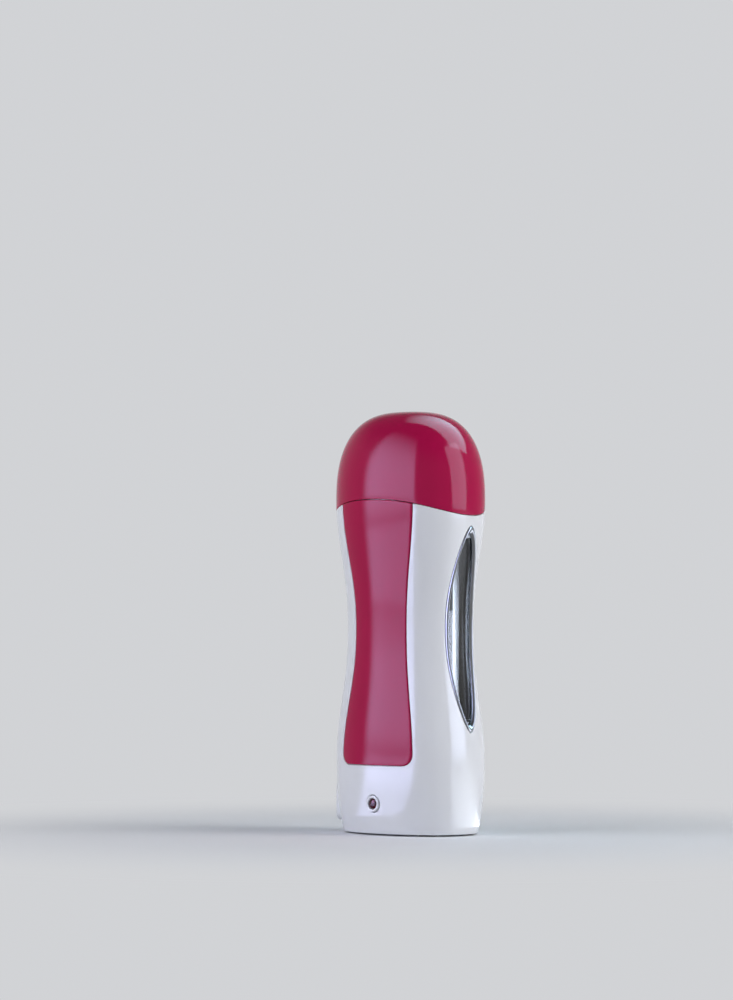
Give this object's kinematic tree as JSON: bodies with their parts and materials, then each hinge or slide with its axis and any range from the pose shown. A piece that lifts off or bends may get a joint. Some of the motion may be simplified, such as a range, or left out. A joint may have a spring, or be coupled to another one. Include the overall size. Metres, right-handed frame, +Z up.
{
  "type": "wax heater",
  "caption": "Upright waisted heater for roll-on wax cartridges, with a lift-off domed cap, heated chamber, leaf-shaped side window and mains inlet.",
  "frame": {"origin": "centre of the footprint, on the surface that the heater stands on", "axes": "+Z up, front panel and lamp towards -Y, leaf-shaped window towards +X, mains inlet towards -X"},
  "size_m": [0.0788, 0.0544, 0.2],
  "materials": {
    "white_plastic": "glossy moulded plastic, cool white",
    "magenta_plastic": "glossy moulded plastic, deep magenta",
    "trim_plastic": "metallised plastic, polished silver",
    "window_plastic": "clear polycarbonate",
    "lamp_red": "translucent red, polished",
    "circuit_board": "solder-masked board",
    "resistor_coat": "lacquered",
    "steel": "zinc plated",
    "nickel": "nickel plated",
    "aluminium": "drawn, satin",
    "rubber": "matt",
    "silicone": "matt, translucent grey",
    "heat_plastic": "glass-filled, matt",
    "film_sheet": "amber insulating film",
    "ceramic": "unglazed ceramic",
    "felt_sheet": "pressed dark felt",
    "brown_sleeve": "silicone wire sleeve",
    "blue_sleeve": "silicone wire sleeve"
  },
  "bodies": {
    "heater_body": {"body_shell": "white_plastic", "front_panel": "magenta_plastic", "neck_collar": "white_plastic", "window_trim": "trim_plastic", "window_lens": "window_plastic", "lamp_ring": "white_plastic", "lamp_lens": "lamp_red", "lamp_board": "circuit_board", "lamp_resistor": "resistor_coat", "inlet_housing": "white_plastic", "inlet_pin_1": "nickel", "inlet_pin_2": "nickel", "base_cover": "white_plastic", "foot_1": "rubber", "foot_2": "rubber", "foot_3": "rubber", "foot_4": "rubber", "base_screw_1": "steel", "base_screw_2": "steel", "base_screw_3": "steel", "base_screw_4": "steel", "chamber_cup": "aluminium", "chamber_gasket": "silicone", "chamber_cradle": "heat_plastic", "cup_screw_1": "steel", "cup_screw_2": "steel", "insulator_sheet_inner": "film_sheet", "ptc_element": "ceramic", "insulator_sheet_outer": "film_sheet", "clamp_strap": "steel", "clamp_screw_1": "steel", "clamp_screw_2": "steel", "thermostat": "heat_plastic", "thermal_fuse": "ceramic", "heat_shield": "felt_sheet", "wire_live": "brown_sleeve", "wire_neutral": "blue_sleeve"},
    "cap": {"cap_shell": "magenta_plastic"}
  },
  "joints": [
    {"name": "cap_lift", "type": "slide", "parent": "heater_body", "child": "cap", "axis": [0, 0, 1], "range_m": [0, 0.05]}
  ]
}
